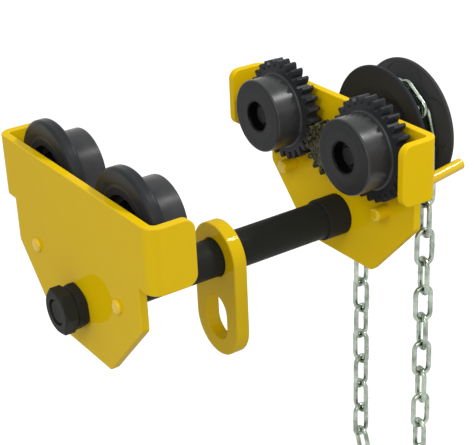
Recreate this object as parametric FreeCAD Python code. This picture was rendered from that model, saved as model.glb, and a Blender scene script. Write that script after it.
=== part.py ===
"""Geared beam trolley: side plates on a load bar, wheels for a beam's lower flange and a hand chain drive.

X runs across the beam, with the geared side at +X. Y runs along the beam, with the front at -Y. Z is up.
The origin is the middle of the rolling plane, which is the top of the beam flange that the wheels stand on.
"""
import FreeCAD
import Part
import math
import os

# Driving dimensions, in millimetres and degrees
plate_thickness = 7.0
plate_top = 57.0
plate_bottom = -91.0
plate_waist_inset = 10.0
plate_waist_bottom = -33.0
plate_foot_length = 90.0
plate_corner_radius = 6.0
plate_edge_radius = 0.8
ear_length = 38.0
ear_bottom = 4.0
ear_bend_radius = 11.0
ear_corner_radius = 9.0
ear_clearance = 6.5

bar_height = -52.5
bar_radius = 16.5
bar_thread_radius = 11.0
bar_end_chamfer = 2.0
collar_wall = 2.0
collar_length = 23.0
collar_edge_radius = 1.0
nut_across_flats = 34.0
idler_nut_height = 9.0
idler_locknut_height = 11.5
geared_nut_height = 15.0
nut_turn_angle = 21.0
nut_chamfer = 3.2
bar_end_recess = 1.0

lug_thickness = 13.0
lug_end_radius = 30.5
lug_end_spacing = 62.0
lug_clearance = 0.4
lug_edge_radius = 1.2
eye_width = 30.0
eye_height = 42.0
eye_drop = 57.0

wheelbase = 120.0
tread_radius = 32.5
tread_width = 25.0
tread_edge_radius = 2.0
tread_root_radius = 2.5
wheel_gap = 168.0
wheel_back_clearance = 6.0
flange_radius = 46.5
flange_width = 11.0
flange_edge_radius = 3.0
hub_hole_clearance = 2.2
hub_hole_chamfer = 1.0
hub_web = 10.0
back_recess_radius = 26.0
back_recess_depth = 6.0

bearing_outer_radius = 20.0
bearing_section = 11.5
bearing_width = 12.0
ball_radius = 3.4
ball_count = 8
ball_clearance = 0.04
race_land_share = 0.65
seal_thickness = 1.0
seal_clearance = 0.3

axle_shoulder_step = 3.0
axle_spigot_step = 1.5
axle_spigot_depth = 4.5
axle_end_length = 3.0
axle_end_chamfer = 1.0
circlip_thickness = 1.3
circlip_groove_depth = 0.7
circlip_band = 3.0
circlip_opening_angle = 40.0

gear_teeth = 28
gear_width = 12.0
pinion_teeth = 14
pinion_width = 13.5
pinion_drop = 19.21
pinion_end_clearance = 1.0
pressure_angle = 20.0
addendum_share = 0.95
dedendum_share = 1.25
tooth_backlash = 0.3

shaft_radius = 8.0
shaft_running_clearance = 0.05
shaft_end_chamfer = 1.0
bush_wall = 3.0
bush_flange_radius = 14.0
bush_length = 15.0
housing_radius = 19.0
housing_length = 30.0

hand_wheel_radius = 60.0
hand_wheel_flare = 14.0
hand_wheel_flat_radius = 24.5
disc_thickness = 4.0
disc_rim_share = 0.475
hub_body_radius = 13.0
hub_body_length = 16.0
hub_flange_margin = 2.0
hub_flange_thickness = 5.0
hub_spigot_radius = 11.0
hub_back_clearance = 1.0
rivet_count = 6
rivet_phase_share = 0.5
rivet_radius = 2.5
rivet_head_clearance = 1.0
rivet_head_height = 2.5
key_width = 5.0
key_end_margin = 1.5
key_depth = 2.5
stud_radius = 6.0
stud_length = 13.0
end_washer_clearance = 1.0
end_washer_thickness = 2.5
end_nut_across_flats = 19.0
end_nut_height = 9.0
end_nut_chamfer = 1.8

guard_pin_radius = 6.0
guard_pin_spacing = 130.0
guard_pin_clearance = 5.5
guard_pin_inside = 15.0
guard_pin_outside = 3.0
guard_pin_edge_radius = 2.6

guide_radius = 5.0
guide_clearance = 10.0
guide_pin_gap = 1.0
guide_rise_angle = 8.5
guide_length = 73.0
guide_root_depth = 5.0
guide_edge_radius = 1.4

chain_wire_radius = 2.4
chain_pitch = 29.5
chain_play_share = 2.1
strand_slack_share = 0.14
wrap_slack_share = 0.9
chain_seat_lift = 0.3
wrap_links = 5
strand_links = 12
twist_links = 4
front_twist_angle = -18.0
rear_twist_angle = -10.0

cut_overrun = 5.0
shortest_edge = 0.001
full_turn = 360.0
sharp_angle = 30.0
half_turn = 180.0
flank_points = 7
hexagon_sides = 6

# Places that follow from the driving dimensions
wheel_inner = wheel_gap / 2
wheel_axis = tread_radius
gear_inner = wheel_inner + tread_width
gear_outer = gear_inner + gear_width
flange_outer = gear_inner + flange_width
plate_inner = gear_outer + wheel_back_clearance
plate_outer = plate_inner + plate_thickness
collar_radius = bar_radius + collar_wall
idler_nut_outer = plate_outer + idler_nut_height
idler_locknut_outer = idler_nut_outer + idler_locknut_height
geared_nut_outer = plate_outer + geared_nut_height
bearing_inner = wheel_inner + hub_web
bearing_outer = bearing_inner + bearing_width
bearing_bore_radius = bearing_outer_radius - bearing_section
ball_circle_radius = (bearing_bore_radius + bearing_outer_radius) / 2
race_land = race_land_share * ball_radius
axle_shoulder_radius = bearing_bore_radius + axle_shoulder_step
axle_spigot_radius = axle_shoulder_radius - axle_spigot_step
axle_groove_radius = bearing_bore_radius - circlip_groove_depth
hub_hole_radius = axle_groove_radius + circlip_band + hub_hole_clearance
gear_centre_distance = math.hypot(wheelbase / 2, pinion_drop)
gear_module = 2 * gear_centre_distance / (gear_teeth + pinion_teeth)
gear_pitch_radius = gear_module * gear_teeth / 2
pinion_pitch_radius = gear_module * pinion_teeth / 2
wheel_reach = max(flange_radius, gear_pitch_radius + addendum_share * gear_module)
plate_length = wheelbase + 2 * (wheel_reach + ear_clearance + plate_thickness)
plate_waist_length = plate_length - 2 * (ear_bend_radius + plate_waist_inset)
pinion_axis = wheel_axis - pinion_drop
pinion_outer = gear_inner + pinion_width
bush_flange_inner = pinion_outer + pinion_end_clearance
housing_outer = plate_outer + housing_length
hub_back = housing_outer + hub_back_clearance
hub_flange_inner = hub_back + hub_body_length
hub_flange_outer = hub_flange_inner + hub_flange_thickness
hub_flange_radius = hand_wheel_flat_radius - hub_flange_margin
hand_wheel_station = hub_flange_outer + disc_thickness
hub_front = hand_wheel_station + disc_thickness
disc_rim_radius = disc_rim_share * disc_thickness
rivet_circle_radius = (hub_body_radius + hub_flange_radius) / 2
rivet_head_radius = (hub_flange_radius - hub_body_radius) / 2 - rivet_head_clearance
end_washer_radius = rivet_circle_radius - rivet_head_radius - end_washer_clearance
guard_pin_height = wheel_axis - wheel_reach - guard_pin_clearance - guard_pin_radius
guide_spacing = 2 * (hand_wheel_radius + guide_clearance)
guide_root_height = guard_pin_height + guard_pin_radius + guide_pin_gap + guide_radius
chain_inside_width = 2 * chain_wire_radius + chain_play_share * chain_wire_radius
strand_step = chain_pitch - strand_slack_share * chain_wire_radius
wrap_step = chain_pitch - wrap_slack_share * chain_wire_radius
chain_turn_angle = half_turn / wrap_links
chain_wrap_radius = wrap_step / 2 / math.sin(math.radians(chain_turn_angle / 2))
chain_link_radius = chain_wrap_radius * math.cos(math.radians(chain_turn_angle / 2))
chain_seat_radius = chain_link_radius - chain_wire_radius + chain_seat_lift
chain_seat_offset = chain_inside_width / 2 + 2 * chain_wire_radius

Vec = FreeCAD.Vector
X_AXIS = Vec(1, 0, 0)
Y_AXIS = Vec(0, 1, 0)
Z_AXIS = Vec(0, 0, 1)


def rounded_wire(corners, place):
    """Closed wire through (u, v, radius) corners, with a tangent arc at each corner that has a radius."""
    count = len(corners)
    entries = []
    middles = []
    exits = []
    for index, (u, v, radius) in enumerate(corners):
        here = Vec(u, v, 0)
        before = (Vec(*corners[index - 1][:2], 0) - here).normalize()
        after = (Vec(*corners[(index + 1) % count][:2], 0) - here).normalize()
        half_angle = before.getAngle(after) / 2
        lead = radius / math.tan(half_angle) if radius > 0 else 0
        entries.append(here + before * lead)
        exits.append(here + after * lead)
        inward = (before + after).normalize()
        middles.append(here + inward * (math.hypot(lead, radius) - radius))
    edges = []
    for index, (u, v, radius) in enumerate(corners):
        if radius > 0:
            arc = Part.Arc(place(entries[index]), place(middles[index]), place(exits[index]))
            edges.append(arc.toShape())
        following = entries[(index + 1) % count]
        if (following - exits[index]).Length > shortest_edge:
            edges.append(Part.makeLine(place(exits[index]), place(following)))
    return Part.Wire(edges)


def prism(corners, place, direction):
    """Solid swept straight along a direction from a rounded outline."""
    return Part.Face(rounded_wire(corners, place)).extrude(direction)


def turned(corners, y, z):
    """Solid turned about a line along X, from (station, radius, corner radius) points of its half section."""
    section = Part.Face(rounded_wire(corners, lambda point: point))
    solid = section.revolve(Vec(), X_AXIS, full_turn)
    solid.translate(Vec(0, y, z))
    return solid


def sharp_edges(solid):
    """Edges of a solid where two faces meet at a clear angle."""
    sharp = []
    for edge in solid.Edges:
        faces = solid.ancestorsOfType(edge, Part.Face)
        if len(faces) < 2:
            continue
        middle = edge.valueAt((edge.FirstParameter + edge.LastParameter) / 2)
        normals = [face.normalAt(*face.Surface.parameter(middle)) for face in faces]
        if math.degrees(normals[0].getAngle(normals[1])) > sharp_angle:
            sharp.append(edge)
    return sharp


def round_bar(radius, start, end, y, z):
    """Plain cylinder along X between two stations."""
    return Part.makeCylinder(radius, abs(end - start), Vec(min(start, end), y, z), X_AXIS)


def tube(outer_radius, inner_radius, start, end, y, z):
    """Plain ring along X between two stations."""
    return round_bar(outer_radius, start, end, y, z).cut(round_bar(inner_radius, start, end, y, z))


def hexagon(across_flats, start, end, bore_radius, chamfer, turn_angle, y, z):
    """Hexagon nut along X with a turned chamfer at both ends and a plain bore."""
    corner_radius = across_flats / 2 / math.cos(math.pi / hexagon_sides)
    points = []
    for corner in range(hexagon_sides):
        angle = 2 * math.pi * corner / hexagon_sides + math.radians(turn_angle)
        points.append(Vec(start, y + corner_radius * math.cos(angle), z + corner_radius * math.sin(angle)))
    body = Part.Face(Part.makePolygon(points + points[:1])).extrude(Vec(end - start, 0, 0))
    outward = math.copysign(chamfer, end - start)
    envelope = turned([
        (start, bore_radius, 0),
        (end, bore_radius, 0),
        (end, corner_radius - chamfer, 0),
        (end - outward / 2, corner_radius, 0),
        (start + outward / 2, corner_radius, 0),
        (start, corner_radius - chamfer, 0),
    ], y, z)
    return body.common(envelope)


def side_plate(side):
    """Pressed plate: a flat web whose upper ends are bent inward as ears, narrowing to a foot."""
    outer = side * plate_outer
    inner = side * plate_inner
    free = side * (plate_outer - ear_length)
    half = plate_length / 2
    inside = half - plate_thickness
    inner_bend_radius = ear_bend_radius - plate_thickness
    channel = prism([
        (free, -half, 0),
        (outer, -half, ear_bend_radius),
        (outer, half, ear_bend_radius),
        (free, half, 0),
        (free, inside, 0),
        (inner, inside, inner_bend_radius),
        (inner, -inside, inner_bend_radius),
        (free, -inside, 0),
    ], lambda point: Vec(point.x, point.y, ear_bottom), Vec(0, 0, plate_top - ear_bottom))
    ear_outline = prism([
        (free, ear_bottom, ear_corner_radius),
        (outer, ear_bottom, 0),
        (outer, plate_top, 0),
        (free, plate_top, ear_corner_radius),
    ], lambda point: Vec(point.x, -half, point.y), Vec(0, plate_length, 0))
    waist = plate_waist_length / 2
    foot = plate_foot_length / 2
    web = prism([
        (-waist, plate_top, 0),
        (-waist, plate_waist_bottom, plate_corner_radius),
        (-foot, plate_bottom, plate_corner_radius),
        (foot, plate_bottom, plate_corner_radius),
        (waist, plate_waist_bottom, plate_corner_radius),
        (waist, plate_top, 0),
    ], lambda point: Vec(inner, point.x, point.y), Vec(outer - inner, 0, 0))
    plate = channel.common(ear_outline).fuse(web).removeSplitter()
    plate = plate.makeFillet(plate_edge_radius, sharp_edges(plate))
    plate = plate.cut(round_bar(bar_thread_radius, inner, outer, 0, bar_height))
    for end in (-1, 1):
        axle_y = end * wheelbase / 2
        socket = side * (plate_inner + axle_spigot_depth)
        plate = plate.cut(round_bar(axle_spigot_radius, inner, socket, axle_y, wheel_axis))
        pin_y = end * guard_pin_spacing / 2
        plate = plate.cut(round_bar(guard_pin_radius, inner, outer, pin_y, guard_pin_height))
    return plate


def geared_plate():
    """Plate of the driven side, which also carries the pinion shaft's bushes and the two chain guides."""
    plate = side_plate(1)
    bush_radius = shaft_radius + bush_wall
    plate = plate.cut(round_bar(bush_radius, plate_inner, plate_outer, 0, pinion_axis))
    for end in (-1, 1):
        plate = plate.cut(chain_guide(end))
    return plate


def chain_guide(end):
    """Round rod set in the plate that leads the hand chain on to the wheel, rising a little outward."""
    rise = math.radians(guide_rise_angle)
    direction = Vec(math.cos(rise), 0, math.sin(rise))
    root = Vec(plate_outer, end * guide_spacing / 2, guide_root_height) - direction * guide_root_depth
    rod = Part.makeCylinder(guide_radius, guide_root_depth + guide_length, root, direction)
    tip = max(rod.Edges, key=lambda edge: edge.CenterOfMass.x)
    return rod.makeFillet(guide_edge_radius, [tip])


def load_bar():
    """Bar that carries the load: a plain middle and a threaded stub through each plate."""
    idler_end = bar_end_recess - idler_locknut_outer
    geared_end = geared_nut_outer - bar_end_recess
    chamfered_radius = bar_thread_radius - bar_end_chamfer
    return turned([
        (idler_end, 0, 0),
        (geared_end, 0, 0),
        (geared_end, chamfered_radius, 0),
        (geared_end - bar_end_chamfer, bar_thread_radius, 0),
        (plate_inner, bar_thread_radius, 0),
        (plate_inner, bar_radius, 0),
        (-plate_inner, bar_radius, 0),
        (-plate_inner, bar_thread_radius, 0),
        (idler_end + bar_end_chamfer, bar_thread_radius, 0),
        (idler_end, chamfered_radius, 0),
    ], 0, bar_height)


def load_bar_collar():
    """Spacer ring on the bar against the geared plate."""
    start = plate_inner - collar_length
    return turned([
        (start, bar_radius, 0),
        (plate_inner, bar_radius, 0),
        (plate_inner, collar_radius, 0),
        (start, collar_radius, collar_edge_radius),
    ], 0, bar_height)


def bar_nut(start, end, turn_angle):
    """Nut on one end of the load bar."""
    return hexagon(nut_across_flats, start, end, bar_thread_radius, nut_chamfer, turn_angle, 0, bar_height)


def suspension_lug():
    """Flat link that hangs on the bar by a round bore and takes the hoist's hook in a long eye."""
    bore_radius = bar_radius + lug_clearance
    start = Vec(-lug_thickness / 2, 0, 0)
    through = Vec(lug_thickness, 0, 0)
    low = bar_height - lug_end_spacing - lug_end_radius
    body = prism([
        (-lug_end_radius, low, lug_end_radius),
        (lug_end_radius, low, lug_end_radius),
        (lug_end_radius, bar_height + lug_end_radius, lug_end_radius),
        (-lug_end_radius, bar_height + lug_end_radius, lug_end_radius),
    ], lambda point: start + Vec(0, point.x, point.y), through)
    eye_radius = eye_width / 2
    eye_middle = bar_height - eye_drop
    eye = prism([
        (-eye_radius, eye_middle - eye_height / 2, eye_radius),
        (eye_radius, eye_middle - eye_height / 2, eye_radius),
        (eye_radius, eye_middle + eye_height / 2, eye_radius),
        (-eye_radius, eye_middle + eye_height / 2, eye_radius),
    ], lambda point: start + Vec(0, point.x, point.y), through)
    bore = round_bar(bore_radius, -lug_thickness / 2, lug_thickness / 2, 0, bar_height)
    link = body.cut(eye).cut(bore)
    return link.makeFillet(lug_edge_radius, sharp_edges(link))


def guard_pins(side):
    """Two round pins low on a plate that stop the trolley from lifting off the flange."""
    inner = side * (plate_inner - guard_pin_inside)
    outer = side * (plate_outer + guard_pin_outside)
    pins = []
    for end in (-1, 1):
        pins.append(turned([
            (inner, 0, 0),
            (outer, 0, 0),
            (outer, guard_pin_radius, guard_pin_edge_radius),
            (inner, guard_pin_radius, guard_pin_edge_radius),
        ], end * guard_pin_spacing / 2, guard_pin_height))
    return Part.makeCompound(pins)


def wheel_bore(side, back, y):
    """Hollow of a wheel: a hub hole, the bearing seat with its circlip groove, and a recess at the back."""
    seat_start = side * bearing_inner
    groove_start = side * bearing_outer
    groove_end = side * (bearing_outer + circlip_thickness)
    face = side * wheel_inner
    hole = turned([
        (face, 0, 0),
        (seat_start, 0, 0),
        (seat_start, hub_hole_radius, 0),
        (face + side * hub_hole_chamfer, hub_hole_radius, 0),
        (face, hub_hole_radius + hub_hole_chamfer, 0),
    ], y, wheel_axis)
    seat = round_bar(bearing_outer_radius, seat_start, side * back, y, wheel_axis)
    groove = round_bar(bearing_outer_radius + circlip_groove_depth, groove_start, groove_end, y, wheel_axis)
    recess = round_bar(back_recess_radius, side * (back - back_recess_depth), side * back, y, wheel_axis)
    return hole.fuse([seat, groove, recess])


def idler_wheel(y):
    """Plain wheel: a tread with a larger flange next to the plate."""
    face = -wheel_inner
    step = -gear_inner
    back = -flange_outer
    blank = turned([
        (face, 0, 0),
        (back, 0, 0),
        (back, flange_radius, flange_edge_radius),
        (step, flange_radius, flange_edge_radius),
        (step, tread_radius, tread_root_radius),
        (face, tread_radius, tread_edge_radius),
    ], y, wheel_axis)
    return blank.cut(wheel_bore(-1, flange_outer, y))


def involute_angle(radius, base_radius):
    """Angle between the radius where an involute starts and the radius through one of its points."""
    unrolled = math.sqrt(max((radius / base_radius) ** 2 - 1, 0))
    return unrolled - math.atan(unrolled)


def gear_ring(teeth, start, end, turn, y, z):
    """Toothed prism along X with involute flanks, one tooth at the turn angle from +Y toward +Z."""
    pitch_radius = gear_module * teeth / 2
    base_radius = pitch_radius * math.cos(math.radians(pressure_angle))
    tip_radius = pitch_radius + addendum_share * gear_module
    root_radius = pitch_radius - dedendum_share * gear_module
    pitch_half_angle = math.pi / 2 / teeth - tooth_backlash / 4 / pitch_radius
    base_half_angle = pitch_half_angle + involute_angle(pitch_radius, base_radius)

    def at(radius, angle):
        return Vec(start, y + radius * math.cos(angle), z + radius * math.sin(angle))

    def flank(centre, hand):
        points = []
        for step in range(flank_points):
            radius = base_radius + (tip_radius - base_radius) * step / (flank_points - 1)
            points.append(at(radius, centre + hand * (base_half_angle - involute_angle(radius, base_radius))))
        curve = Part.BSplineCurve()
        curve.interpolate(points)
        return curve.toShape()

    tip_half_angle = base_half_angle - involute_angle(tip_radius, base_radius)
    tooth_angle = 2 * math.pi / teeth
    edges = []
    for tooth in range(teeth):
        centre = turn + tooth * tooth_angle
        low = centre - base_half_angle
        high = centre + base_half_angle
        following = centre + tooth_angle - base_half_angle
        edges.append(Part.makeLine(at(root_radius, low), at(base_radius, low)))
        edges.append(flank(centre, -1))
        tip_low = at(tip_radius, centre - tip_half_angle)
        tip_high = at(tip_radius, centre + tip_half_angle)
        edges.append(Part.Arc(tip_low, at(tip_radius, centre), tip_high).toShape())
        edges.append(flank(centre, 1))
        edges.append(Part.makeLine(at(base_radius, high), at(root_radius, high)))
        root_middle = at(root_radius, centre + tooth_angle / 2)
        edges.append(Part.Arc(at(root_radius, high), root_middle, at(root_radius, following)).toShape())
    outline = Part.Wire(Part.__sortEdges__(edges))
    return Part.Face(outline).extrude(Vec(end - start, 0, 0))


def meshing_turn(end):
    """Turn of a geared wheel that sets one of its tooth spaces on the pinion tooth that points to it."""
    toward_gear = math.atan2(pinion_drop, end * wheelbase / 2)
    pinion_step = 2 * math.pi / pinion_teeth
    nearest = round((toward_gear - pinion_turn()) / pinion_step) * pinion_step + pinion_turn()
    arc = (nearest - toward_gear) * pinion_pitch_radius
    space = toward_gear + math.pi - arc / gear_pitch_radius
    return space + math.pi / gear_teeth


def pinion_turn():
    """Turn of the pinion that points one of its teeth at the rear geared wheel."""
    return math.atan2(pinion_drop, wheelbase / 2)


def geared_wheel(end, y):
    """Driven wheel: the same tread with a ring of teeth in place of the flange."""
    step_radius = tread_radius + tread_root_radius
    tread = turned([
        (wheel_inner, 0, 0),
        (gear_inner, 0, 0),
        (gear_inner, step_radius, 0),
        (gear_inner, tread_radius, tread_root_radius),
        (wheel_inner, tread_radius, tread_edge_radius),
    ], y, wheel_axis)
    teeth = gear_ring(gear_teeth, gear_inner, gear_outer, meshing_turn(end), y, wheel_axis)
    return tread.fuse(teeth).removeSplitter().cut(wheel_bore(1, gear_outer, y))


def axle(side, y):
    """Stub axle: a spigot in the plate, a shoulder at the bearing and a journal with a circlip groove."""
    end = side * (bearing_inner - circlip_thickness - axle_end_length)
    groove_start = side * (bearing_inner - circlip_thickness)
    groove_end = side * bearing_inner
    shoulder = side * bearing_outer
    inner = side * plate_inner
    socket = side * (plate_inner + axle_spigot_depth)
    return turned([
        (end, 0, 0),
        (socket, 0, 0),
        (socket, axle_spigot_radius, 0),
        (inner, axle_spigot_radius, 0),
        (inner, axle_shoulder_radius, 0),
        (shoulder, axle_shoulder_radius, 0),
        (shoulder, bearing_bore_radius, 0),
        (groove_end, bearing_bore_radius, 0),
        (groove_end, axle_groove_radius, 0),
        (groove_start, axle_groove_radius, 0),
        (groove_start, bearing_bore_radius, 0),
        (end + side * axle_end_chamfer, bearing_bore_radius, 0),
        (end, bearing_bore_radius - axle_end_chamfer, 0),
    ], y, wheel_axis)


def circlip(outer_radius, inner_radius, start, end, y):
    """Spring ring with its opening at the bottom."""
    ring = tube(outer_radius, inner_radius, start, end, y, wheel_axis)
    half_opening = math.radians(circlip_opening_angle / 2)
    reach = outer_radius + cut_overrun
    gap = Part.makePolygon([
        Vec(start, y, wheel_axis),
        Vec(start, y - reach * math.sin(half_opening), wheel_axis - reach * math.cos(half_opening)),
        Vec(start, y + reach * math.sin(half_opening), wheel_axis - reach * math.cos(half_opening)),
        Vec(start, y, wheel_axis),
    ])
    return ring.cut(Part.Face(gap).extrude(Vec(end - start, 0, 0)))


def axle_circlip(side, y):
    """Outer circlip that keeps the bearing on its axle."""
    start = side * (bearing_inner - circlip_thickness)
    return circlip(axle_groove_radius + circlip_band, axle_groove_radius, start, side * bearing_inner, y)


def wheel_circlip(side, y):
    """Inner circlip that keeps the bearing in its wheel."""
    outer_radius = bearing_outer_radius + circlip_groove_depth
    end = side * (bearing_outer + circlip_thickness)
    return circlip(outer_radius, outer_radius - circlip_band, side * bearing_outer, end, y)


def ball_groove(side, y):
    """Round channel of both races that the balls run in."""
    middle = Vec(side * (bearing_inner + bearing_width / 2), y, wheel_axis)
    return Part.makeTorus(ball_circle_radius, ball_radius + ball_clearance, middle, X_AXIS)


def outer_race(side, y):
    """Outer ring of a wheel's ball bearing, pressed into the wheel."""
    land_radius = ball_circle_radius + race_land
    ends = (side * bearing_inner, side * bearing_outer)
    return tube(bearing_outer_radius, land_radius, *ends, y, wheel_axis).cut(ball_groove(side, y))


def inner_race(side, y):
    """Inner ring of a wheel's ball bearing, on the axle's journal."""
    land_radius = ball_circle_radius - race_land
    ends = (side * bearing_inner, side * bearing_outer)
    return tube(land_radius, bearing_bore_radius, *ends, y, wheel_axis).cut(ball_groove(side, y))


def bearing_seals(side, y):
    """Two thin washers in the outer race that close the bearing on both sides."""
    outer_radius = ball_circle_radius + race_land
    inner_radius = ball_circle_radius - race_land + seal_clearance
    seals = []
    for start in (bearing_inner, bearing_outer - seal_thickness):
        ends = (side * start, side * (start + seal_thickness))
        seals.append(tube(outer_radius, inner_radius, *ends, y, wheel_axis))
    return Part.makeCompound(seals)


def bearing_balls(side, y):
    """Ring of balls between the two races."""
    station = side * (bearing_inner + bearing_width / 2)
    balls = []
    for index in range(ball_count):
        angle = 2 * math.pi * index / ball_count
        across = ball_circle_radius * math.cos(angle)
        above = ball_circle_radius * math.sin(angle)
        balls.append(Part.makeSphere(ball_radius, Vec(station, y + across, wheel_axis + above)))
    return Part.makeCompound(balls)


def pinion_shaft():
    """Shaft of the hand drive with the pinion cut on its inner end and a stud for a nut on the other."""
    teeth = gear_ring(pinion_teeth, gear_inner, pinion_outer, pinion_turn(), 0, pinion_axis)
    stud_end = hub_front + stud_length
    stem = turned([
        (gear_inner, 0, 0),
        (stud_end, 0, 0),
        (stud_end, stud_radius - shaft_end_chamfer, 0),
        (stud_end - shaft_end_chamfer, stud_radius, 0),
        (hub_front, stud_radius, 0),
        (hub_front, shaft_radius, 0),
        (gear_inner, shaft_radius, 0),
    ], 0, pinion_axis)
    return teeth.fuse(stem).cut(drive_key())


def drive_key():
    """Flat key that turns the shaft with the hand wheel's hub."""
    start = hub_back + key_end_margin
    key_length = hub_flange_outer - key_end_margin - start
    low = pinion_axis + shaft_radius - key_depth
    return Part.makeBox(key_length, key_width, 2 * key_depth, Vec(start, -key_width / 2, low))


def shaft_housing():
    """Round boss welded to the plate that holds the outer bush."""
    return tube(housing_radius, shaft_radius + bush_wall, plate_outer, housing_outer, 0, pinion_axis)


def inner_bush():
    """Flanged bush in the plate, whose flange takes the thrust of the pinion."""
    bore_radius = shaft_radius + shaft_running_clearance
    bush_end = plate_inner + bush_length
    body = tube(shaft_radius + bush_wall, bore_radius, plate_inner, bush_end, 0, pinion_axis)
    return body.fuse(tube(bush_flange_radius, bore_radius, bush_flange_inner, plate_inner, 0, pinion_axis))


def outer_bush():
    """Plain bush at the outer end of the boss."""
    bore_radius = shaft_radius + shaft_running_clearance
    start = housing_outer - bush_length
    return tube(shaft_radius + bush_wall, bore_radius, start, housing_outer, 0, pinion_axis)


def hand_wheel_hub():
    """Hub of the hand chain wheel: a keyed body, a flange for the discs and a spigot that centres them."""
    body = turned([
        (hub_back, shaft_radius, 0),
        (hub_front, shaft_radius, 0),
        (hub_front, hub_spigot_radius, 0),
        (hub_flange_outer, hub_spigot_radius, 0),
        (hub_flange_outer, hub_flange_radius, 0),
        (hub_flange_inner, hub_flange_radius, 0),
        (hub_flange_inner, hub_body_radius, 0),
        (hub_back, hub_body_radius, 0),
    ], 0, pinion_axis)
    return body.cut(drive_key()).cut(rivet_shanks())


def hand_wheel_disc(facing):
    """Dished disc: flat at the hub, then sloping out to the chain's seat and more gently on to the rim."""
    middle = hand_wheel_station
    seat = middle + facing * chain_seat_offset
    rim = middle + facing * hand_wheel_flare
    back = facing * disc_thickness
    disc = turned([
        (middle, hub_spigot_radius, 0),
        (middle, hand_wheel_flat_radius, disc_thickness),
        (seat, chain_seat_radius, chain_wire_radius),
        (rim, hand_wheel_radius, disc_rim_radius),
        (rim + back, hand_wheel_radius, disc_rim_radius),
        (seat + back, chain_seat_radius, chain_wire_radius + disc_thickness),
        (middle + back, hand_wheel_flat_radius, disc_thickness),
        (middle + back, hub_spigot_radius, 0),
    ], 0, pinion_axis)
    return disc.cut(rivet_shanks())


def rivet_places():
    """Centres of the rivets round the hub flange."""
    places = []
    for index in range(rivet_count):
        angle = 2 * math.pi * (index + rivet_phase_share) / rivet_count
        across = rivet_circle_radius * math.cos(angle)
        above = rivet_circle_radius * math.sin(angle)
        places.append((across, pinion_axis + above))
    return places


def rivet_shanks():
    """Straight shanks of all the rivets, from the back of the hub flange to the front of the outer disc."""
    shanks = [round_bar(rivet_radius, hub_flange_inner, hub_front, *place) for place in rivet_places()]
    return Part.makeCompound(shanks)


def hand_wheel_rivets():
    """Rivets that clamp the two discs to the hub flange."""
    rivets = []
    for y, z in rivet_places():
        rivets.append(turned([
            (hub_flange_inner - rivet_head_height, 0, 0),
            (hub_front + rivet_head_height, 0, 0),
            (hub_front + rivet_head_height, rivet_head_radius, rivet_head_height / 2),
            (hub_front, rivet_head_radius, 0),
            (hub_front, rivet_radius, 0),
            (hub_flange_inner, rivet_radius, 0),
            (hub_flange_inner, rivet_head_radius, 0),
            (hub_flange_inner - rivet_head_height, rivet_head_radius, rivet_head_height / 2),
        ], y, z))
    return Part.makeCompound(rivets)


def chain_link():
    """One oval link of round wire, its length along X and its width along Y, centred on the origin."""
    bend_radius = (chain_inside_width + 2 * chain_wire_radius) / 2
    straight = chain_pitch + 2 * chain_wire_radius - 2 * bend_radius
    pieces = []
    for hand in (-1, 1):
        leg_start = Vec(-straight / 2, hand * bend_radius, 0)
        leg = Part.makeCylinder(chain_wire_radius, straight, leg_start, X_AXIS)
        centre = Vec(hand * straight / 2, 0, 0)
        circle = Part.Circle(centre + Y_AXIS * bend_radius, X_AXIS, chain_wire_radius)
        section = Part.Face(Part.Wire(circle.toShape()))
        pieces += [leg, section.revolve(centre, Z_AXIS, -hand * half_turn)]
    return pieces[0].fuse(pieces[1:]).removeSplitter()


def chain_corners():
    """Places in the YZ plane where each link meets the next, round the closed loop."""
    corners = []
    for step in range(wrap_links):
        angle = math.radians(half_turn - step * chain_turn_angle)
        across = chain_wrap_radius * math.cos(angle)
        corners.append((across, pinion_axis + chain_wrap_radius * math.sin(angle)))
    for step in range(strand_links):
        corners.append((chain_wrap_radius, pinion_axis - step * strand_step))
    low = pinion_axis - strand_links * strand_step
    for step in range(wrap_links):
        angle = math.radians(-step * chain_turn_angle)
        corners.append((chain_wrap_radius * math.cos(angle), low + chain_wrap_radius * math.sin(angle)))
    for step in range(strand_links):
        corners.append((-chain_wrap_radius, low + step * strand_step))
    return corners


def chain_links(first, count, twist_angle):
    """Run of links of the loop, each a quarter turn from its neighbour, with a twist that comes and goes."""
    corners = chain_corners()
    link = chain_link()
    links = []
    for step in range(count):
        index = first + step
        start = Vec(hand_wheel_station, *corners[index])
        end = Vec(hand_wheel_station, *corners[(index + 1) % len(corners)])
        along = (end - start).normalize()
        across = X_AXIS if index % 2 == 0 else along.cross(X_AXIS)
        turn = FreeCAD.Rotation(along, across, along.cross(across), "XYZ")
        twist_share = min(step + 1, count - step, twist_links) / twist_links
        twist = FreeCAD.Rotation(along, twist_share * twist_angle)
        placed = link.copy()
        placed.Placement = FreeCAD.Placement((start + end) / 2, twist.multiply(turn))
        links.append(placed)
    return Part.makeCompound(links)


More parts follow.
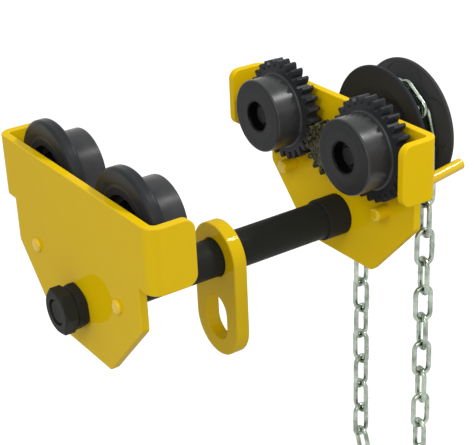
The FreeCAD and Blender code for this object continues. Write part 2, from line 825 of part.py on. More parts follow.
def main_nodes():
    """Every node that isn't repeated at each wheel."""
    washer_end = hub_front + end_washer_thickness
    nut_end = washer_end + end_nut_height
    return {
        "idler_side_plate": side_plate(-1),
        "geared_side_plate": geared_plate(),
        "load_bar": load_bar(),
        "load_bar_collar": load_bar_collar(),
        "idler_bar_nut": bar_nut(-plate_outer, -idler_nut_outer, nut_turn_angle),
        "idler_bar_locknut": bar_nut(-idler_nut_outer, -idler_locknut_outer, 0),
        "geared_bar_nut": bar_nut(plate_outer, geared_nut_outer, 0),
        "suspension_lug": suspension_lug(),
        "idler_guard_pins": guard_pins(-1),
        "geared_guard_pins": guard_pins(1),
        "pinion_shaft": pinion_shaft(),
        "drive_key": drive_key(),
        "shaft_housing": shaft_housing(),
        "shaft_inner_bush": inner_bush(),
        "shaft_outer_bush": outer_bush(),
        "hand_wheel_hub": hand_wheel_hub(),
        "hand_wheel_inner_disc": hand_wheel_disc(-1),
        "hand_wheel_outer_disc": hand_wheel_disc(1),
        "hand_wheel_rivets": hand_wheel_rivets(),
        "hand_wheel_washer": tube(end_washer_radius, stud_radius, hub_front, washer_end, 0, pinion_axis),
        "hand_wheel_nut": hexagon(
            end_nut_across_flats, washer_end, nut_end, stud_radius, end_nut_chamfer, nut_turn_angle,
            0, pinion_axis),
        "front_chain_guide": chain_guide(-1),
        "rear_chain_guide": chain_guide(1),
        "hand_chain_wrap": chain_links(0, wrap_links, 0),
        "hand_chain_rear_strand": chain_links(wrap_links, strand_links, rear_twist_angle),
        "hand_chain_bight": chain_links(wrap_links + strand_links, wrap_links, 0),
        "hand_chain_front_strand": chain_links(
            2 * wrap_links + strand_links, strand_links, front_twist_angle),
    }


def wheel_nodes():
    """The wheel, axle, bearing and circlips at each of the four corners."""
    nodes = {}
    for side_name, side in (("idler", -1), ("geared", 1)):
        for end_name, end in (("front", -1), ("rear", 1)):
            name = side_name + "_" + end_name
            y = end * wheelbase / 2
            nodes[name + "_wheel"] = idler_wheel(y) if side < 0 else geared_wheel(end, y)
            nodes[name + "_axle"] = axle(side, y)
            nodes[name + "_axle_circlip"] = axle_circlip(side, y)
            nodes[name + "_wheel_circlip"] = wheel_circlip(side, y)
            nodes[name + "_outer_race"] = outer_race(side, y)
            nodes[name + "_inner_race"] = inner_race(side, y)
            nodes[name + "_bearing_seals"] = bearing_seals(side, y)
            nodes[name + "_bearing_balls"] = bearing_balls(side, y)
    return nodes


os.makedirs("parts", exist_ok=True)
for node_name, shape in {**main_nodes(), **wheel_nodes()}.items():
    shape.exportStep("parts/" + node_name + ".step")
    print(node_name, len(shape.Solids), round(shape.Volume, 1), shape.isValid())
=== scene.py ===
"""Geared beam trolley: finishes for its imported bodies, fine detail pieces, and a plain white studio."""
import math

import bpy
import numpy as np
from mathutils import Matrix, Vector


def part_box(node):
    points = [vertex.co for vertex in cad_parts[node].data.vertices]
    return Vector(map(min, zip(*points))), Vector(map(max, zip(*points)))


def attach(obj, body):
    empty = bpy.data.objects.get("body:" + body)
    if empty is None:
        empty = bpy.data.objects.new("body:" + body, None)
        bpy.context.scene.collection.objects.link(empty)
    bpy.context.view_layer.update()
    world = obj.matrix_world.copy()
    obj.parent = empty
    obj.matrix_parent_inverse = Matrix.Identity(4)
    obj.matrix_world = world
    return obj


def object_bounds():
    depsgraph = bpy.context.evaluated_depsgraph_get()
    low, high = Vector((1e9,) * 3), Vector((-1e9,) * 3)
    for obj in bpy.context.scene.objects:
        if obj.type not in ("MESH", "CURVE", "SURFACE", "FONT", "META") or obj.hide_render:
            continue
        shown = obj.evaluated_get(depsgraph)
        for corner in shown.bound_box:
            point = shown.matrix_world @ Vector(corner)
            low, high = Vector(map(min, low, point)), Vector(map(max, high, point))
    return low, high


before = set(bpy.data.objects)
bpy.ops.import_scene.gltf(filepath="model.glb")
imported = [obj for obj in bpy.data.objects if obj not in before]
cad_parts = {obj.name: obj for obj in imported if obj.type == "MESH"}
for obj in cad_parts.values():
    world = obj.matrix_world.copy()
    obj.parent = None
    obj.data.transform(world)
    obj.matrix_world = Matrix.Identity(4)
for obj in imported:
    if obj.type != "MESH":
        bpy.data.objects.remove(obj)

cad_low, cad_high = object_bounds()

# Side plates: 7 mm mild steel, cut and pressed so that the upper ends turn inward as bumper ears.
# They are sprayed gloss yellow with a faint orange peel, thinner on the geared plate, thick on round pieces.
paint_yellow = (0.765, 0.517, 0.002)
paint_yellow_deep = (0.725, 0.479, 0.0015)
# Paler yellow for edges: partly thinner paint, partly a painted highlight where the edges catch the light.
paint_yellow_edge_highlight = (0.860, 0.670, 0.110)


def add_node(tree, kind, inputs=None, **settings):
    """A shader node with its settings, whose inputs are either plain values or other nodes' outputs."""
    node = tree.nodes.new(kind)
    for name, value in settings.items():
        setattr(node, name, value)
    for name, value in (inputs or {}).items():
        socket = node.inputs[name]
        if isinstance(value, bpy.types.NodeSocket):
            tree.links.new(value, socket)
        else:
            socket.default_value = value
    return node


def calc(tree, operation, first, second=0.0, clamp=False):
    """Result of one sum on two values."""
    terms = {0: first, 1: second}
    return add_node(tree, "ShaderNodeMath", terms, operation=operation, use_clamp=clamp).outputs[0]


def mixed(tree, share, first, second):
    """Colour between two others, by a share from 0 to 1."""
    inputs = {0: share, 6: first, 7: second}
    return add_node(tree, "ShaderNodeMix", inputs, data_type="RGBA").outputs[2]


def effect(name, inputs, outputs):
    """Empty node group with named value inputs and outputs, and its two end nodes."""
    tree = bpy.data.node_groups.new(name, "ShaderNodeTree")
    for label, value in inputs.items():
        socket = tree.interface.new_socket(label, in_out="INPUT", socket_type="NodeSocketFloat")
        socket.default_value = value
    for label in outputs:
        tree.interface.new_socket(label, in_out="OUTPUT", socket_type="NodeSocketFloat")
    return tree, tree.nodes.new("NodeGroupInput"), tree.nodes.new("NodeGroupOutput")


def place(tree, group, **values):
    """One use of a node group in a material, with its own values."""
    node = tree.nodes.new("ShaderNodeGroup")
    node.node_tree = group
    for label, value in values.items():
        node.inputs[label.replace("_", " ")].default_value = value
    return node


def object_noise(tree, scale, detail=2.0):
    """Soft noise in object space, as a value about 0.5."""
    where = add_node(tree, "ShaderNodeTexCoord").outputs["Object"]
    inputs = {"Vector": where, "Scale": scale, "Detail": detail}
    return add_node(tree, "ShaderNodeTexNoise", inputs).outputs[0]


paint_film, film_in, film_out = effect(
    "paint_film", {"Peel Scale": 420.0, "Drift Scale": 14.0}, ("Peel", "Drift"))
for label, detail in (("Peel", 1.0), ("Drift", 3.0)):
    flow = object_noise(paint_film, film_in.outputs[label + " Scale"], detail)
    paint_film.links.new(flow, film_out.inputs[label])

# Mask of sharp edges: real rubbing on the black and grey parts, a painted highlight on the yellow ones.
edge_wear_and_highlight, edge_in, edge_out = effect("edge_wear_and_highlight", {"Width": 0.0006, "Patches": 160.0, "Amount": 6.0}, ("Mask",))
rounded = add_node(edge_wear_and_highlight, "ShaderNodeBevel", {"Radius": edge_in.outputs["Width"]}, samples=6)
plain_normal = add_node(edge_wear_and_highlight, "ShaderNodeNewGeometry").outputs["Normal"]
normals = {0: rounded.outputs[0], 1: plain_normal}
agree = add_node(edge_wear_and_highlight, "ShaderNodeVectorMath", normals, operation="DOT_PRODUCT").outputs["Value"]
turned_away = calc(edge_wear_and_highlight, "MULTIPLY", calc(edge_wear_and_highlight, "SUBTRACT", 1.0, agree), edge_in.outputs["Amount"])
patches = object_noise(edge_wear_and_highlight, edge_in.outputs["Patches"], 3.0)
patchy = calc(edge_wear_and_highlight, "MULTIPLY", turned_away, patches, clamp=True)
edge_wear_and_highlight.links.new(patchy, edge_out.inputs["Mask"])


def finish(name, roughness, metallic=0.0, specular=0.5, coat=0.0, coat_roughness=0.05):
    """Material with one shader whose plain values are set on its own sockets."""
    material = bpy.data.materials.new(name)
    material.use_nodes = True
    tree = material.node_tree
    shader = tree.nodes["Principled BSDF"]
    shader.inputs["Roughness"].default_value = roughness
    shader.inputs["Metallic"].default_value = metallic
    shader.inputs["Specular IOR Level"].default_value = specular
    shader.inputs["Coat Weight"].default_value = coat
    shader.inputs["Coat Roughness"].default_value = coat_roughness
    return material, tree, shader


def dented(tree, shader, height, strength, distance, edge=0.0002):
    """Fine relief of a surface from a height value, with its sharp edges softened over a small width."""
    soft = add_node(tree, "ShaderNodeBevel", {"Radius": edge}, samples=6).outputs[0]
    relief = {"Height": height, "Strength": strength, "Distance": distance, "Normal": soft}
    bump = add_node(tree, "ShaderNodeBump", relief)
    tree.links.new(bump.outputs["Normal"], shader.inputs["Normal"])


def dress(material, *names):
    """Gives CAD nodes their finish."""
    for name in names:
        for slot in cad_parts[name].material_slots:
            slot.material = material


def yellow_finish(name, coat, lift=1.0):
    """Sprayed yellow, whose tone drifts as the film flows and is painted paler at edges, partly as thinner
    paint there and partly as a painted highlight. More coat makes it glossier, and the lift makes its colours
    lighter."""
    colours = (paint_yellow, paint_yellow_deep, paint_yellow_edge_highlight)
    tone, deep_tone, edge_highlight_tone = ([lift * part for part in colour] + [1.0] for colour in colours)
    material, tree, shader = finish(name, roughness=0.30, specular=0.0, coat=coat, coat_roughness=0.05)
    film = place(tree, paint_film, Peel_Scale=380.0, Drift_Scale=11.0)
    worn_and_highlit_edges = place(tree, edge_wear_and_highlight, Width=0.0017, Amount=5.0, Patches=70.0)
    flowed = mixed(tree, film.outputs["Drift"], tone, deep_tone)
    tree.links.new(mixed(tree, worn_and_highlit_edges.outputs["Mask"], flowed, edge_highlight_tone), shader.inputs["Base Color"])
    dented(tree, shader, film.outputs["Peel"], strength=0.10, distance=0.0004, edge=0.0011)
    return material


yellow = yellow_finish("gloss_yellow_paint", coat=0.18)
# The geared side's yellow is painted 7% lighter, as painted light that makes up for the shade it stands in.
lightened_thin_yellow = yellow_finish("thin_yellow_paint_lightened", coat=0.09, lift=1.07)
dress(yellow, "idler_side_plate")
dress(lightened_thin_yellow, "geared_side_plate")

# Load bar, its spacer collar and its nuts: turned steel, blackened and oiled, so it keeps a satin sheen.
# The bar is shouldered against the plates, and nuts on its threaded ends clamp them.
black_steel = (0.0205, 0.0215, 0.0180, 1.0)
black_steel_rubbed = (0.055, 0.055, 0.056, 1.0)
bar_axis_z = -0.0525
bar_roughness = 0.44
bar_roughness_span = 0.16


def scaled(tree, value, span, start, clamp=False):
    """A value times a span, counted from a start."""
    return calc(tree, "ADD", calc(tree, "MULTIPLY", value, span), start, clamp)


turning, turn_in, turn_out = effect(
    "turning_marks", {"Axis Y": 0.0, "Axis Z": 0.0, "Rings": 900.0}, ("Height", "Tone", "Radius"))
where = add_node(turning, "ShaderNodeTexCoord").outputs["Object"]
split = add_node(turning, "ShaderNodeSeparateXYZ", {0: where})
either_end = calc(turning, "ABSOLUTE", split.outputs["Y"])
from_axis_y = calc(turning, "SUBTRACT", either_end, turn_in.outputs["Axis Y"])
from_axis_z = calc(turning, "SUBTRACT", split.outputs["Z"], turn_in.outputs["Axis Z"])
from_axis = calc(turning, "SQRT", calc(
    turning, "ADD", calc(turning, "MULTIPLY", from_axis_y, from_axis_y),
    calc(turning, "MULTIPLY", from_axis_z, from_axis_z)))
tool_path = calc(turning, "ADD", from_axis, split.outputs["X"])
feed = calc(turning, "MULTIPLY", tool_path, turn_in.outputs["Rings"])
for label, scale, detail in (("Height", 1.0, 2.0), ("Tone", 0.06, 1.0)):
    inputs = {"W": feed, "Scale": scale, "Detail": detail}
    marks = add_node(turning, "ShaderNodeTexNoise", inputs, noise_dimensions="1D")
    turning.links.new(marks.outputs[0], turn_out.inputs[label])
turning.links.new(from_axis, turn_out.inputs["Radius"])

blackened, tree, shader = finish("oiled_black_steel", roughness=0.52, specular=0.06)
cut = place(tree, turning, Axis_Z=bar_axis_z, Rings=2600.0)
worn_and_highlit_edges = place(tree, edge_wear_and_highlight, Width=0.0005, Amount=5.0)
tree.links.new(mixed(tree, worn_and_highlit_edges.outputs["Mask"], black_steel, black_steel_rubbed), shader.inputs["Base Color"])
gloss = scaled(tree, cut.outputs["Tone"], bar_roughness_span, bar_roughness)
tree.links.new(gloss, shader.inputs["Roughness"])
dented(tree, shader, cut.outputs["Height"], strength=0.10, distance=0.0002, edge=0.0007)
dress(blackened, "load_bar", "load_bar_collar", "idler_bar_nut", "idler_bar_locknut", "geared_bar_nut")

# Suspension lug: a 13 mm plate link in the same gloss yellow, loose on the bar so that it swings with the
# hook. Guard pins: short round bars with domed ends through each plate, painted thick and shiny.
dress(yellow, "suspension_lug")
# Pins and chain guides are painted 6% lighter as well as glossier: a painted highlight on their round ends.
highlit_wet_yellow = yellow_finish("wet_yellow_paint_highlit", coat=0.75, lift=1.06)
dress(highlit_wet_yellow, "idler_guard_pins", "geared_guard_pins")

# Axles and ball bearings: the axles blackened, shouldered and set into the plates, the bearings ground steel.
# Each bearing has two hardened races, a ring of balls and black rubber seals, and spring circlips hold it.
ground_steel = (0.56, 0.56, 0.57, 1.0)
ground_steel_dull = (0.40, 0.40, 0.41, 1.0)
wheel_axis = {"Axis_Y": 0.06, "Axis_Z": 0.0325}

ground, tree, shader = finish("ground_steel", roughness=0.24, metallic=1.0)
cut = place(tree, turning, Rings=4200.0, **wheel_axis)
tree.links.new(mixed(tree, cut.outputs["Tone"], ground_steel_dull, ground_steel), shader.inputs["Base Color"])
dented(tree, shader, cut.outputs["Height"], strength=0.08, distance=0.0001)

# The axle is painted darker than the blackened bar: painted shade for the deep hub hole it shows in.
axle_black_shaded = (0.003, 0.003, 0.0032, 1.0)
axle_black_shaded_rubbed = (0.011, 0.011, 0.0115, 1.0)
axle_steel, tree, shader = finish("blackened_axle", roughness=0.42, specular=0.12)
cut = place(tree, turning, Rings=3000.0, **wheel_axis)
tree.links.new(mixed(tree, cut.outputs["Tone"], axle_black_shaded, axle_black_shaded_rubbed), shader.inputs["Base Color"])
dented(tree, shader, cut.outputs["Height"], strength=0.10, distance=0.0002)

seal_black = (0.010, 0.010, 0.011, 1.0)
seal_grey = (0.022, 0.022, 0.023, 1.0)
rubber, tree, shader = finish("seal_rubber", roughness=0.62)
tree.links.new(mixed(tree, object_noise(tree, 300.0), seal_black, seal_grey), shader.inputs["Base Color"])

spring_steel, tree, shader = finish("black_spring_steel", roughness=0.40, metallic=0.4)
tempered = mixed(tree, object_noise(tree, 420.0), black_steel, black_steel_rubbed)
tree.links.new(tempered, shader.inputs["Base Color"])

corners = [side + "_" + end for side in ("idler", "geared") for end in ("front", "rear")]
for corner in corners:
    dress(ground, corner + "_outer_race", corner + "_inner_race", corner + "_bearing_balls")
    dress(axle_steel, corner + "_axle")
    dress(rubber, corner + "_bearing_seals")
    dress(spring_steel, corner + "_axle_circlip", corner + "_wheel_circlip")

# Wheels: steel, turned all over and blackened to a dark grey satin, with treads that rolling has polished.
# The idler pair has flanges. On the driven side a ring of cut spur teeth stands where the flange would be.
wheel_grey = (0.0222, 0.0233, 0.0254, 1.0)
wheel_grey_light = (0.0298, 0.0311, 0.0336, 1.0)
wheel_edge_grey = (0.046, 0.046, 0.048, 1.0)
# Treads are painted a lighter grey: partly bright rolling wear, partly a painted sheen where they catch the
# light.
tread_sheen_grey = (0.0370, 0.0377, 0.0390, 1.0)
# Inside the hub hole radius the grey turns near black: painted shade in the deep bore.
hub_hole_painted_shade = (0.003, 0.003, 0.0032, 1.0)
hub_hole_edge = 0.0148
hub_hole_sharpness = 2500.0
tread_radius = 0.0325
tread_band = 0.0012
tread_sharpness = 2000.0
tread_polish = 0.62
wheel_roughness = 0.22
wheel_roughness_span = 0.14


def under(tree, limit, value, sharpness):
    """Mask that is 1 where a value lies under a limit and fades to 0 as it nears the limit."""
    return calc(tree, "MULTIPLY", calc(tree, "SUBTRACT", limit, value), sharpness, clamp=True)


wheel_steel, tree, shader = finish("satin_wheel_grey", roughness=0.30, specular=0.08, coat_roughness=0.32)
cut = place(tree, turning, Rings=2200.0, **wheel_axis)
worn_and_highlit_edges = place(tree, edge_wear_and_highlight, Width=0.0006, Amount=1.4, Patches=220.0)
tinted = mixed(tree, cut.outputs["Tone"], wheel_grey, wheel_grey_light)
worn = mixed(tree, worn_and_highlit_edges.outputs["Mask"], tinted, wheel_edge_grey)
off_tread = calc(tree, "ABSOLUTE", calc(tree, "SUBTRACT", cut.outputs["Radius"], tread_radius))
on_tread = under(tree, tread_band, off_tread, tread_sharpness)
worn_tread_and_sheen = mixed(tree, on_tread, worn, tread_sheen_grey)
# Painted shade inside the hub hole.
in_hole_shade = under(tree, hub_hole_edge, cut.outputs["Radius"], hub_hole_sharpness)
tree.links.new(mixed(tree, in_hole_shade, worn_tread_and_sheen, hub_hole_painted_shade), shader.inputs["Base Color"])
gloss = scaled(tree, object_noise(tree, 60.0, 3.0), wheel_roughness_span, wheel_roughness)
tree.links.new(gloss, shader.inputs["Roughness"])
polish = calc(tree, "MULTIPLY", object_noise(tree, 90.0, 3.0), tread_polish)
tree.links.new(calc(tree, "MULTIPLY", on_tread, polish), shader.inputs["Coat Weight"])
dented(tree, shader, cut.outputs["Height"], strength=0.06, distance=0.0002, edge=0.0008)
for corner in corners:
    dress(wheel_steel, corner + "_wheel")

# Pinion shaft: machined steel with the pinion cut on its end, packed with tacky olive grease.
# Bronze bushes carry it in the plate and in a boss that is welded to the plate and painted with it.
shaft_steel = (0.10, 0.095, 0.060, 1.0)
grease_olive = (0.145, 0.135, 0.058, 1.0)
grease_dark = (0.012, 0.0118, 0.006, 1.0)
fleck_contrast = 3.4
fleck_start = -1.45
cover_limit = 0.85
cover_sharpness = 6.0
housing_low, housing_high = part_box("shaft_housing")
pinion_z = (housing_low[2] + housing_high[2]) / 2
pinion_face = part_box("pinion_shaft")[0][0]

grease, grease_in, grease_out = effect("grease_film", {"Clots": 260.0, "Cover": 0.5}, ("Cover", "Clot"))
clots = object_noise(grease, grease_in.outputs["Clots"], 4.0)
bare = calc(grease, "SUBTRACT", cover_limit, grease_in.outputs["Cover"])
spread = under(grease, clots, bare, cover_sharpness)
grease.links.new(spread, grease_out.inputs["Cover"])
grease.links.new(clots, grease_out.inputs["Clot"])

greased, tree, shader = finish("greased_steel", roughness=0.34, specular=0.03, coat=0.04, coat_roughness=0.10)
smear = place(tree, grease, Clots=420.0, Cover=0.96)
flecks = scaled(tree, smear.outputs["Clot"], fleck_contrast, fleck_start, clamp=True)
oily = mixed(tree, flecks, grease_dark, grease_olive)
tree.links.new(mixed(tree, smear.outputs["Cover"], shaft_steel, oily), shader.inputs["Base Color"])
tree.links.new(calc(tree, "SUBTRACT", 1.0, smear.outputs["Cover"]), shader.inputs["Metallic"])
dented(tree, shader, smear.outputs["Clot"], strength=0.5, distance=0.0012)
dress(greased, "pinion_shaft")

bronze_light = (0.50, 0.30, 0.11, 1.0)
bronze_dull = (0.36, 0.21, 0.08, 1.0)
bronze, tree, shader = finish("bush_bronze", roughness=0.30, metallic=1.0)
cast = mixed(tree, object_noise(tree, 180.0, 3.0), bronze_dull, bronze_light)
tree.links.new(cast, shader.inputs["Base Color"])
dress(bronze, "shaft_inner_bush", "shaft_outer_bush")
dress(ground, "drive_key")
dress(lightened_thin_yellow, "shaft_housing")


def grid_faces(rows, columns, wrap_rows, wrap_columns):
    """Quads of a grid of points, joined round where a direction closes on itself."""
    row = np.arange(rows if wrap_rows else rows - 1)[:, None]
    column = np.arange(columns if wrap_columns else columns - 1)[None, :]
    next_row = (row + 1) % rows
    next_column = (column + 1) % columns
    corners = np.broadcast_arrays(
        row * columns + column, row * columns + next_column,
        next_row * columns + next_column, next_row * columns + column)
    return np.stack(corners, -1).reshape(-1, 4)


def surface(name, points, faces, material, body):
    """Smooth mesh object from an array of points and a list of faces, riding on a body."""
    mesh = bpy.data.meshes.new(name)
    mesh.from_pydata(points.reshape(-1, 3).tolist(), [], faces)
    mesh.polygons.foreach_set("use_smooth", np.ones(len(mesh.polygons), dtype=bool))
    mesh.materials.append(material)
    piece = bpy.data.objects.new(name, mesh)
    bpy.context.scene.collection.objects.link(piece)
    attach(piece, body)


steps_per_ripple = 8
section_steps = 12
bead_ripple = 0.10
slow_share = 0.4


def ring_bead(centre, radius, half_width, ripples):
    """Closed bead round a line along X: a circle of the given radius carries a small round section. The
    section's size swells and thins by a share as it goes round, in so many ripples, as a weld's runs do."""
    steps = steps_per_ripple * ripples
    around = np.linspace(0, 2 * math.pi, steps, endpoint=False)[:, None]
    section = np.linspace(0, 2 * math.pi, section_steps, endpoint=False)[None, :]
    swell = bead_ripple * np.sin(ripples * around) + slow_share * bead_ripple * np.sin(3 * around + 1)
    size = half_width * (1 + swell)
    out = radius + size * np.cos(section)
    along = centre[0] + size * np.sin(section)
    points = np.stack(np.broadcast_arrays(
        along, centre[1] + out * np.cos(around), centre[2] + out * np.sin(around)), -1)
    return points, grid_faces(steps, section_steps, True, True)[:, ::-1].tolist()


pat_radius = 0.0150
pat_thickness = 0.0012
pat_root = 0.4 * pat_thickness
pat_spokes = 96
pat_rings = 14


def grease_pat(face, height):
    """Lens of grease stuck on an end face that looks along -X: thickness falls from the middle to the edge as
    a quarter ellipse, the edge wanders with slow waves round it, and ridges of two wavelengths lump it."""
    around = np.linspace(0, 2 * math.pi, pat_spokes, endpoint=False)[None, :]
    outward = np.linspace(0, 1, pat_rings)[:, None]
    wander = 0.05 * np.sin(3 * around + 0.6) + 0.04 * np.sin(7 * around) + 0.02 * np.sin(14 * around)
    edge = pat_radius * (1 + wander)
    share = np.sin(outward * math.pi / 2)
    lumps = 1 + 0.30 * np.sin(5 * around + 6 * share) + 0.22 * np.sin(11 * around - 9 * share + 1.3)
    raised = pat_thickness * np.sqrt(1 - share ** 2) * (1 + (lumps - 1) * share)
    y = edge * share * np.cos(around)
    z = height + edge * share * np.sin(around)
    top = np.stack(np.broadcast_arrays(face - raised, y, z), -1)
    sunk = np.stack(np.broadcast_arrays(face + pat_root * np.ones_like(raised), y, z), -1)
    points = np.concatenate([top[1:], sunk[:0:-1]]).reshape(-1, 3)
    rings = 2 * (pat_rings - 1)
    faces = grid_faces(rings, pat_spokes, False, True).tolist()
    middles = np.array([[face - pat_thickness, 0, height], [face + pat_root, 0, height]])
    last = (rings - 1) * pat_spokes
    column = np.arange(pat_spokes)
    following = (column + 1) % pat_spokes
    tip = np.stack([np.full(pat_spokes, len(points)), following, column], -1).tolist()
    base = np.stack([np.full(pat_spokes, len(points) + 1), last + column, last + following], -1).tolist()
    return np.concatenate([points, middles]), faces + tip + base


points, faces = grease_pat(pinion_face, pinion_z)
surface("pinion_grease", points, faces, greased, "hand_drive")

plate_face = housing_low[0]
housing_radius = (housing_high[2] - housing_low[2]) / 2
housing_bead = 0.0024
housing_ripples = 44
points, faces = ring_bead((plate_face, 0, pinion_z), housing_radius, housing_bead, housing_ripples)
surface("shaft_housing_weld", points, faces, lightened_thin_yellow, "frame")

# Hand chain wheel: two pressed steel discs riveted back to back on a keyed hub and painted satin black.
# A plated washer and nut hold the hub on the end of the pinion shaft.
# The near disc's black is tinted blue to cancel the yellow light that the plate throws on it: painted light.
wheel_black = (0.0220, 0.0248, 0.0292, 1.0)
wheel_black_soft = (0.0285, 0.0318, 0.0374, 1.0)
# The far disc is painted lighter than the near one, a painted lift for the shade that the near disc throws on
# it.
far_black_lit = (0.0430, 0.0432, 0.0440, 1.0)
far_black_lit_soft = (0.0540, 0.0543, 0.0553, 1.0)


def black_finish(name, tone, soft_tone):
    """Sprayed black between two tones, with greyer edges."""
    material, tree, shader = finish(name, roughness=0.46, specular=0.05)
    film = place(tree, paint_film, Peel_Scale=520.0, Drift_Scale=26.0)
    worn_and_highlit_edges = place(tree, edge_wear_and_highlight, Width=0.0008, Amount=1.8, Patches=120.0)
    tinted = mixed(tree, film.outputs["Drift"], tone, soft_tone)
    tree.links.new(mixed(tree, worn_and_highlit_edges.outputs["Mask"], tinted, wheel_edge_grey), shader.inputs["Base Color"])
    dented(tree, shader, film.outputs["Peel"], strength=0.08, distance=0.0004, edge=0.0005)
    return material


black_paint = black_finish("satin_black_paint", wheel_black, wheel_black_soft)
far_paint_lit = black_finish("outer_black_paint_lit", far_black_lit, far_black_lit_soft)
dress(black_paint, "hand_wheel_inner_disc", "hand_wheel_hub")
dress(far_paint_lit, "hand_wheel_outer_disc")

wheel_station = 0.190
seat_offset = 0.00972
seat_radius = 0.0400
rim_offset = 0.014
rim_radius = 0.060
pad_count = 5
pad_start = 0.0470
pad_length = 0.0105
pad_half_angle = math.radians(9)
pad_flare = math.radians(17)
pad_height = 0.0011
pad_root = 0.0006
pad_sink = 0.0001
pad_rows = 16
pad_columns = 13
pad_loop = 2 * pad_columns


def pocket_pads(facing):
    """Raised pads on the inner face of one disc, between the pockets that the flat links lie in. Along a pad
    its radius runs from just outside the links to near the rim, its sides spread as an arc does, and its
    height rises from the disc's cone and sinks back into it. Each section is a closed loop, top and
    underside."""
    along = np.linspace(0, 1, pad_rows)[None, :, None]
    across = np.linspace(-1, 1, pad_columns)
    loop = np.concatenate([across, across[::-1]])[None, None, :]
    top = np.concatenate([np.ones(pad_columns), np.zeros(pad_columns)])[None, None, :]
    middle = 2 * math.pi * (np.arange(pad_count)[:, None, None] + 0.5) / pad_count + math.pi / 2
    radius = pad_start + pad_length * along
    spread = pad_half_angle + pad_flare * along ** 2
    angle = middle + spread * loop
    crown = (1 - loop ** 8) * (1 - along ** 3) * np.minimum(1, 8 * along + 0.15)
    height = top * pad_height * crown - (1 - top) * pad_root - pad_sink
    slope = seat_offset + (rim_offset - seat_offset) * (radius - seat_radius) / (rim_radius - seat_radius)
    x = wheel_station + facing * (slope - height)
    points = np.stack(np.broadcast_arrays(
        x, radius * np.cos(angle), pinion_z + radius * np.sin(angle)), -1).reshape(-1, 3)
    one = grid_faces(pad_rows, pad_loop, False, True)
    ends = np.stack([np.arange(pad_loop)[::-1], np.arange(pad_loop) + (pad_rows - 1) * pad_loop])
    shift = pad_rows * pad_loop * np.arange(pad_count)
    quads = (one[None] + shift[:, None, None]).reshape(-1, 4)
    caps = (ends[None] + shift[:, None, None]).reshape(-1, pad_loop)
    if facing < 0:
        quads, caps = quads[:, ::-1], caps[:, ::-1]
    return points, quads.tolist() + caps.tolist()


for name, facing, paint in (("inner", -1, black_paint), ("outer", 1, far_paint_lit)):
    points, faces = pocket_pads(facing)
    surface("hand_wheel_" + name + "_pads", points, faces, paint, "hand_drive")

zinc_bright = (0.54, 0.605, 0.515, 1.0)
zinc_dull = (0.125, 0.155, 0.118, 1.0)
zinc_roughness = 0.14
zinc_roughness_span = 0.22
bloom_contrast = 1.6
bloom_start = -0.3
zinc, tree, shader = finish("zinc_plate", roughness=0.22, metallic=1.0)
bloom = scaled(tree, object_noise(tree, 110.0, 2.0), bloom_contrast, bloom_start, clamp=True)
tree.links.new(mixed(tree, bloom, zinc_dull, zinc_bright), shader.inputs["Base Color"])
tree.links.new(scaled(tree, bloom, zinc_roughness_span, zinc_roughness), shader.inputs["Roughness"])
dented(tree, shader, object_noise(tree, 900.0, 2.0), strength=0.08, distance=0.0002)
dress(zinc, "hand_wheel_rivets", "hand_wheel_washer", "hand_wheel_nut")

# Hand chain: oval links of zinc plated round wire, bent and butt welded, each a quarter turn from the next.
# It runs over the wheel between the discs and hangs in a closed loop below.
dress(zinc, "hand_chain_wrap", "hand_chain_rear_strand", "hand_chain_bight", "hand_chain_front_strand")
wire_radius = 0.0024
link_pitch = 0.0295
leg_offset = 0.00732
strand_slack_share = 0.14
wrap_slack_share = 0.9
strand_step = link_pitch - strand_slack_share * wire_radius
wrap_step = link_pitch - wrap_slack_share * wire_radius
wrap_links = 5
strand_links = 12
twist_links = 4
rear_twist = math.radians(-10)
front_twist = math.radians(-18)
wrap_turn = math.pi / wrap_links
wrap_radius = wrap_step / 2 / math.sin(wrap_turn / 2)


def link_frames():
    """Middle, direction and width direction of every link of the closed loop: over the wheel, down behind,
    round the bight and up in front. Links alternate a quarter turn, and each strand is twisted a little."""
    turn = wrap_turn * np.arange(wrap_links)
    drop = strand_step * np.arange(strand_links)
    low = pinion_z - strand_links * strand_step
    y = np.concatenate([
        -wrap_radius * np.cos(turn), np.full(strand_links, wrap_radius),
        wrap_radius * np.cos(turn), np.full(strand_links, -wrap_radius)])
    z = np.concatenate([
        pinion_z + wrap_radius * np.sin(turn), pinion_z - drop, low - wrap_radius * np.sin(turn), low + drop])
    start = np.stack([np.full_like(y, wheel_station), y, z], -1)
    end = np.roll(start, -1, 0)
    along = (end - start) / np.linalg.norm(end - start, axis=1, keepdims=True)
    flat = np.broadcast_to([1.0, 0.0, 0.0], along.shape)
    across = np.where((np.arange(len(y)) % 2 == 0)[:, None], flat, np.cross(along, flat))
    step = np.arange(strand_links)
    ease = np.minimum(np.minimum(step + 1, strand_links - step), twist_links) / twist_links
    still = np.zeros(wrap_links)
    twist = np.concatenate([still, rear_twist * ease, still, front_twist * ease])[:, None]
    across = across * np.cos(twist) + np.cross(along, across) * np.sin(twist)
    return (start + end) / 2, along, across


seam_half_length = 0.0013
seam_stations = np.array([-1.0, -0.5, 0.0, 0.5, 1.0, 0.0]) * seam_half_length
seam_lifts = np.array([-0.00015, 0.00016, 0.00026, 0.00016, -0.00015, -0.0005])
seam_spokes = 14


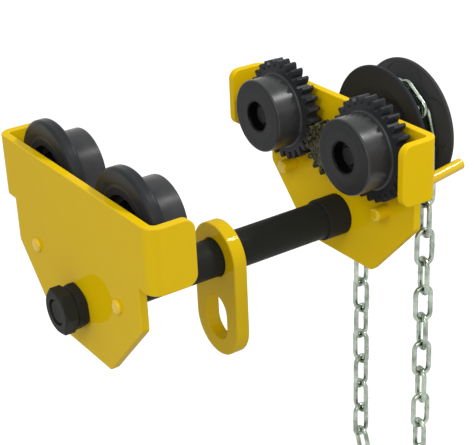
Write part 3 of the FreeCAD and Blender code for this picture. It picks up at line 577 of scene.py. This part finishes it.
def weld_seams():
    """Low rings round the middle of one leg of every link, where its wire was butt welded: a circle round the
    leg carries a flat hump, whose height follows half a cosine along the leg."""
    middle, along, across = (part[:, None, None, :] for part in link_frames())
    around = np.linspace(0, 2 * math.pi, seam_spokes, endpoint=False)[None, :, None, None]
    station = seam_stations[None, None, :, None]
    radius = wire_radius + seam_lifts[None, None, :, None]
    up = np.cross(along, across)
    points = middle + across * leg_offset + along * station + radius * (
        across * np.cos(around) + up * np.sin(around))
    one = grid_faces(seam_spokes, len(seam_lifts), True, True)[:, ::-1]
    shift = seam_spokes * len(seam_lifts) * np.arange(len(middle))
    return points, (one[None] + shift[:, None, None]).reshape(-1, 4).tolist()


points, faces = weld_seams()
surface("hand_chain_weld_seams", points, faces, zinc, "frame")

# Chain guides: round rods set in the geared plate in front of and behind the wheel, rising a little outward.
# Each is welded round its root and painted with the plate.
dress(highlit_wet_yellow, "front_chain_guide", "rear_chain_guide")
guide_radius = 0.005
guide_height = -0.0135
guide_reach = 0.070
guide_bead = 0.0014
guide_ripples = 14
for guide, end in (("front_chain_guide", -1), ("rear_chain_guide", 1)):
    root = (plate_face, end * guide_reach, guide_height)
    points, faces = ring_bead(root, guide_radius, guide_bead, guide_ripples)
    surface(guide + "_weld", points, faces, lightened_thin_yellow, "frame")

# Studio: a wide pale floor just under the chain, white surroundings and three soft boxes above and around.
# The floor and the surroundings show as plain white, and the floor keeps the trolley's soft shadow.
scene = bpy.context.scene
floor_gap = 0.012
floor_height = cad_low[2] - floor_gap
floor_reach = 7.0
paper_grey = (0.40, 0.40, 0.40, 1.0)
paper_glow = 0.80
sky_white = (1.0, 1.0, 1.0, 1.0)
ambient = 0.62


def shown_rays(tree):
    """1 for the rays that show the surroundings: from the camera, off gloss and through glass."""
    ray = add_node(tree, "ShaderNodeLightPath")
    indirect = calc(tree, "MAXIMUM", ray.outputs["Is Glossy Ray"], ray.outputs["Is Transmission Ray"])
    return calc(tree, "MAXIMUM", ray.outputs["Is Camera Ray"], indirect)


mesh = bpy.data.meshes.new("studio_floor")
floor_corners = np.array([(-1, -1, 0), (1, -1, 0), (1, 1, 0), (-1, 1, 0)]) * floor_reach
floor_corners[:, 2] = floor_height
mesh.from_pydata(floor_corners.tolist(), [], [(0, 1, 2, 3)])
floor = bpy.data.objects.new("studio_floor", mesh)
scene.collection.objects.link(floor)
floor_paper = bpy.data.materials.new("floor_paper")
floor_paper.use_nodes = True
tree = floor_paper.node_tree
tree.nodes.clear()
paper = add_node(tree, "ShaderNodeBsdfDiffuse", {"Color": paper_grey})
strength = calc(tree, "MULTIPLY", shown_rays(tree), paper_glow)
glow = add_node(tree, "ShaderNodeEmission", {"Strength": strength})
both = add_node(tree, "ShaderNodeAddShader", {0: paper.outputs[0], 1: glow.outputs[0]})
add_node(tree, "ShaderNodeOutputMaterial", {"Surface": both.outputs[0]})
mesh.materials.append(floor_paper)

world = bpy.data.worlds.new("white_surroundings")
scene.world = world
world.use_nodes = True
tree = world.node_tree
tree.nodes.clear()
strength = scaled(tree, shown_rays(tree), 1.0 - ambient, ambient)
sky = add_node(tree, "ShaderNodeBackground", {"Color": sky_white, "Strength": strength})
add_node(tree, "ShaderNodeOutputWorld", {"Surface": sky.outputs[0]})


def soft_box(name, direction, distance, size, power):
    """Square lamp that faces the trolley from a direction."""
    lamp = bpy.data.lights.new(name, "AREA")
    lamp.size = size
    lamp.energy = power
    holder = bpy.data.objects.new(name, lamp)
    toward = Vector(direction).normalized()
    holder.location = toward * distance
    holder.rotation_euler = toward.to_track_quat("Z", "Y").to_euler()
    scene.collection.objects.link(holder)


soft_box("overhead_box", (0.55, -0.36, 0.80), distance=1.6, size=0.25, power=12.0)
soft_box("front_box", (-0.46, -0.78, 0.42), distance=2.0, size=0.8, power=7.0)
soft_box("left_box", (-0.70, -0.32, 0.64), distance=2.0, size=0.7, power=9.5)

# Camera: stands above and in front of the idler side, where the photograph was taken from.
# Its place, turn and focal length were fitted to the plates, the bar and the wheels in the photograph.
image_width = 474
focal_pixels = 1300.4
sensor_width = 36.0
eye = Vector((-0.52338, -0.81581, 0.44857))
right = Vector((0.8216, -0.5687, -0.0392)).normalized()
back = Vector((-0.4976, -0.7490, 0.4375)).normalized()
up = back.cross(right).normalized()
right = up.cross(back)
lens = bpy.data.cameras.new("photo_camera")
lens.sensor_fit = "HORIZONTAL"
lens.sensor_width = sensor_width
lens.lens = focal_pixels * sensor_width / image_width
lens.clip_start = 0.01
lens.clip_end = 50.0
camera = bpy.data.objects.new("photo_camera", lens)
camera.matrix_world = Matrix.Translation(eye) @ Matrix((right, up, back)).transposed().to_4x4()
scene.collection.objects.link(camera)
scene.camera = camera
scene.view_settings.view_transform = "Standard"
